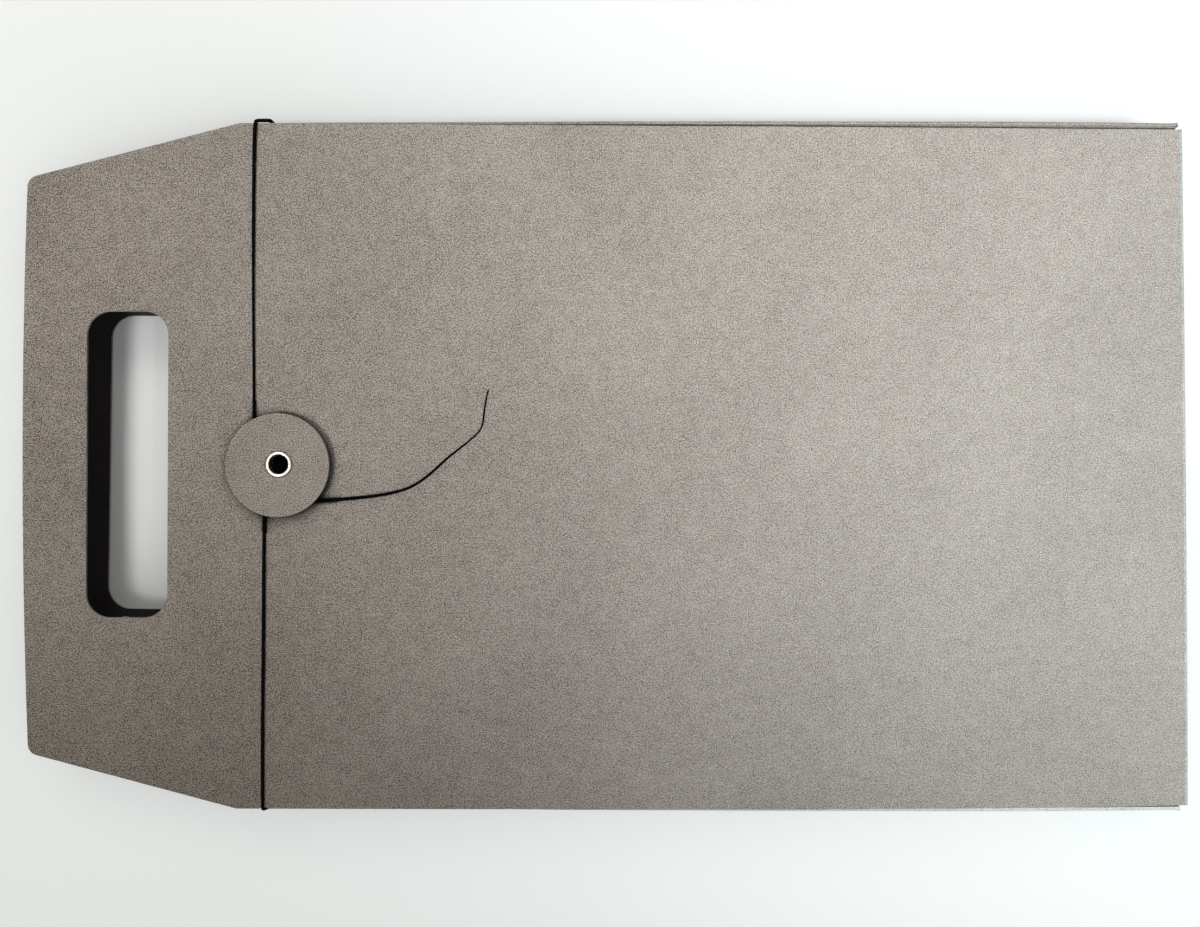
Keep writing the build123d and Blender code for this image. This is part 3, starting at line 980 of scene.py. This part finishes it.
def bend(name, fold_line, first, second, along, length, made, curl=0.0, sway=None):
    """Board bent a quarter turn round its fold line. The outside is stretched smooth with a
    shallow score beside each panel, and the pressed bead wrinkles along the fold. Its far end
    may curl out, and sway() gives how far each of its places lies off the line."""
    start, first, second, along = (Vector(v) for v in (fold_line, first, second, along))
    outer, inner = BEND_STEPS
    ring = outer + inner + 2
    stations = max(2, round(length / BEND_STEP))
    corners, depths, faces, kinds = [], [], [], []
    for k in range(stations + 1):
        run = length * k / stations
        left = length - run
        for j in range(ring):
            if j <= outer:
                angle, radius = pi / 2 * j / outer, FOLD_OUTER
                score = (exp(-((j - SCORE_PLACE) / SCORE_WIDTH) ** 2)
                         + exp(-((j - outer + SCORE_PLACE) / SCORE_WIDTH) ** 2))
                wrinkle = noise(Vector((run * 0.35, j * 0.45, length))) * WRINKLE
                inside = sin(2 * angle)
                radius += (wrinkle - SCORE_DEPTH * score) * min(1.0, 3 * inside)
                radius += curl * exp(-(left / CURL_LENGTH) ** 2) * inside
            else:
                angle, radius = pi / 2 * (ring - 1 - j) / inner, FOLD_INNER
            middle = start + along * run + (Vector(sway(run)) if sway else Vector())
            corners.append(middle + (first * cos(angle) + second * sin(angle)) * radius)
            depths.append(FOLD_OUTER - radius)
    for k in range(stations):
        for j in range(ring):
            a, b = k * ring + j, k * ring + (j + 1) % ring
            faces.append((a, b, b + ring, a + ring))
            kinds.append(INSIDE if outer < j < ring - 1 else FACE)
    for k in (0, stations):
        for j in range(outer):
            # the inner points that this step and the next one of the outside lie over
            i = min(inner, max(0, floor(j * inner / outer + 0.5)))
            i2 = min(inner, max(0, floor((j + 1) * inner / outer + 0.5)))
            face = [k * ring + j, k * ring + j + 1, k * ring + ring - 1 - i2]
            if i != i2:
                face.append(k * ring + ring - 1 - i)
            faces.append(tuple(face))
            kinds.append(CUT_EDGE)
    piece = mesh_piece(name, corners, faces, made, kinds, [kind != CUT_EDGE for kind in kinds])
    store_depth(piece, depths)
    outward(piece)
    return piece


def blended(piece, a, b, fold_line, first, second, *nodes):
    """The bend takes the place of the crease's plain solids, fixed where it lies on neither
    panel's body.
    """
    middle = (FOLD_INNER + FOLD_OUTER) / 2
    start = (Vector(fold_line) + Vector(first) * middle) * MM
    end = (Vector(fold_line) + Vector(second) * middle) * MM
    stand_in_for(piece, None, "greyboard", *nodes)
    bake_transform(piece)


def bends(made, shaded, stretched, left_fold_lit):
    """The six folds of the sheet, from the back cover outward."""
    down, up, out = (0, 0, -1), (0, 0, 1), (1, 0, 0)
    low, high = SPINE_ENDS
    line = (SPINE_FOLD, low, LOW_FOLD)
    piece = bend("back_spine_bend", line, down, out, (0, 1, 0), high - low, made)
    blended(piece, "back", "spine", line, down, out, "back_spine_crease")
    line = (SPINE_FOLD, low, COVER_FOLD)
    # its paler, cooler finish is partly a painted highlight
    piece = bend("front_spine_bend", line, out, up, (0, 1, 0), high - low, stretched,
                 sway=lambda run: (spine_sway(low + run), 0.0, 0.0))
    blended(piece, "spine", "front", line, out, up, "front_spine_crease")
    length = PANEL_END - PANEL_START
    # the left flap bend's pale finish is a painted highlight; the right one's gets painted shade
    for name, side, table, finish in (("right", (0, 1, 0), RIGHT_TOP, shaded),
                                      ("left", (0, -1, 0), LEFT_TOP, left_fold_lit)):
        line = (PANEL_START, side[1] * SIDE_FOLD, LOW_FOLD)
        piece = bend(name + "_wall_bend", line, down, side, out, length, made)
        blended(piece, "back", name + "_wall", line, down, side, name + "_wall_crease")
        line = (PANEL_START, side[1] * SIDE_FOLD, FLAP_FOLD)
        piece = bend(name + "_flap_bend", line, side, up, out, length, finish, curl=CURL,
                     sway=lambda run: (0.0, side[1] * wall_bulge(PANEL_START + run, table), 0.0))
        blended(piece, name + "_wall", name + "_flap", line, side, up, name + "_flap_crease")


# Disc and eyelet

def turned(name, profile, steps, made, kinds=None, shift=None):
    """A closed ring: the profile's (radius, height) points turned round the eyelet's axis, with
    shift(number of the point, angle) added to the radius."""
    corners, faces, face_kinds = [], [], []
    for k in range(steps):
        angle = 2 * pi * k / steps
        for j, (radius, height) in enumerate(profile):
            if shift:
                radius += shift(j, angle)
            corners.append((DISC_X + radius * cos(angle), radius * sin(angle), height))
    size = len(profile)
    for k in range(steps):
        after = (k + 1) % steps
        for j in range(size):
            a, b = k * size + j, k * size + (j + 1) % size
            c, d = after * size + (j + 1) % size, after * size + j
            faces.append((a, b, c, d))
            face_kinds.append(kinds[j] if kinds else FACE)
    piece = mesh_piece(name, corners, faces, made, face_kinds)
    outward(piece)
    return piece


DISC_STEPS = 320
DISH_RADIUS = 6.4           # the eyelet presses the disc down inside this radius
FLAT_END = 16.6             # and the disc is flat from there to here
RIM_RAG = 0.05
RIM_NICK_AT = 133.7         # degrees round from the spine, towards the right side
RIM_NICK = 0.38
RIM_NICK_WIDTH = 0.55
RIM_NICK_REST = 0.5         # the share of it that is left below BURR_DEPTH


def disc(made):
    """The die-cut disc, dished where the eyelet presses it, with a nick at its upper left."""
    profile = [(BARREL_HOLE, DISC_BOTTOM + 0.02), (BARREL_HOLE, DISC_TOP - 0.22),
               (4.2, DISC_TOP - 0.2), (4.7, DISC_TOP - 0.12), (5.4, DISC_TOP - 0.03)]
    profile += [(radius, DISC_TOP) for radius in (DISH_RADIUS, 9.0, 12.0, 15.0, FLAT_END)]
    rim = len(profile)
    profile += [(DISC_RADIUS - inset, DISC_TOP - depth) for inset, depth, _ in EDGE_PROFILE]
    rim_end = len(profile)
    profile += [(12.0, DISC_BOTTOM), (7.0, DISC_BOTTOM), (5.2, DISC_BOTTOM + 0.02)]
    kinds = [FACE] * len(profile)
    kinds[0] = CUT_EDGE
    # the top of the rim is paler, a painted highlight
    kinds[rim:rim + 2] = [RIM_HIGHLIGHT] * 2
    kinds[rim + 2:rim_end - 1] = [CUT_EDGE] * (rim_end - rim - 3)
    nick = radians(RIM_NICK_AT)

    def shift(j, angle):
        share = (profile[j][0] - DISH_RADIUS) / (FLAT_END - DISH_RADIUS)
        off_centre = min(1.0, max(0.0, share)) * (DISC_OFF[0] * cos(angle)
                                                  + DISC_OFF[1] * sin(angle))
        if not rim < j < rim_end:
            return off_centre
        wander = RIM_RAG * noise(Vector((cos(angle) * 16, sin(angle) * 16, j * 0.5)))
        off = (angle - nick + pi) % (2 * pi) - pi
        burr = RIM_NICK * exp(-(off * DISC_RADIUS / RIM_NICK_WIDTH) ** 2)
        kept = 1 if DISC_TOP - profile[j][1] < BURR_DEPTH else RIM_NICK_REST
        return off_centre + wander + burr * kept

    piece = turned("disc_board", profile, DISC_STEPS, made, kinds, shift)
    store_depth(piece, [DISC_TOP - v.co.z / MM for v in piece.data.vertices])
    stand_in_for(piece, "disc", "greyboard", "closure_disc")


EYELET_STEPS = 128
SPLIT_MARK = 0.05           # the curl set inside is a little six-sided, from the setting tool


def eyelet(made):
    """The rivet: a rolled rim over the disc, a drawn barrel, and a curl set inside."""
    rim_middle, rim_low, rim_wide, rim_high = 3.77, DISC_TOP - 0.16, 0.55, 0.60
    profile = []
    for k in range(11):
        angle = pi - pi * k / 10
        profile.append((rim_middle + rim_wide * cos(angle),
                        rim_low + 0.18 + rim_high * sin(angle)))
    profile += [(4.3, rim_low + 0.04), (4.1, rim_low), (BARREL_RADIUS + 0.02, rim_low),
                (BARREL_RADIUS, DISC_BOTTOM), (BARREL_RADIUS, FRONT_INNER - 0.03)]
    curl = len(profile)
    curl_middle, curl_top, curl_wide, curl_high = 4.2, FRONT_INNER - 0.25, 0.62, 0.42
    for k in range(9):
        angle = radians(60) - radians(240) * k / 8
        profile.append((curl_middle + curl_wide * cos(angle),
                        curl_top + curl_high * sin(angle) - 0.2))
    curl_end = len(profile) - 1
    profile += [(3.42, FRONT_INNER - 0.1), (3.32, FRONT_INNER + 0.4)]

    def shift(j, angle):
        return SPLIT_MARK * cos(6 * angle) if curl < j < curl_end else 0.0

    piece = turned("eyelet_metal", profile, EYELET_STEPS, [made], shift=shift)
    stand_in_for(piece, "front", "eyelet_metal", "closure_eyelet")


photo_camera()
cord_black = waxed_cord()
tie_cord(cord_black)
knot_loop(cord_black)

# Finishes of a board piece: its face, its cut edge and its inside
edge, lining = greyboard_cut_edge(), black_lining()
board = [greyboard(), edge, lining]
# painted shade beside the disc on the front cover and disc, and beside the front cover on the
# flaps
cover_board = [greyboard("greyboard_shaded_under_disc", painted_shade=UNDER_DISC, zone=beside_disc), edge,
               lining]
flap_board = [greyboard("greyboard_shaded_under_cover", painted_shade=UNDER_COVER, zone=beyond_cover), edge,
              lining]
# painted highlights on the spine's upper fold and on the left wall's top fold
spine_fold_highlight_board = [spine_fold_highlight_greyboard(), edge, lining]
left_fold_highlight_board = [left_fold_highlight_greyboard(), edge, lining]
covers(board, cover_board)
spine(board)
side_walls(board, flap_board)
bends(board, flap_board, spine_fold_highlight_board, left_fold_highlight_board)
# the rim's finish is a painted highlight
disc(cover_board + [rim_highlight_greyboard()])
eyelet(bright_nickel())
studio()
white_paper_floor()

bpy.context.scene.view_settings.view_transform = "Standard"
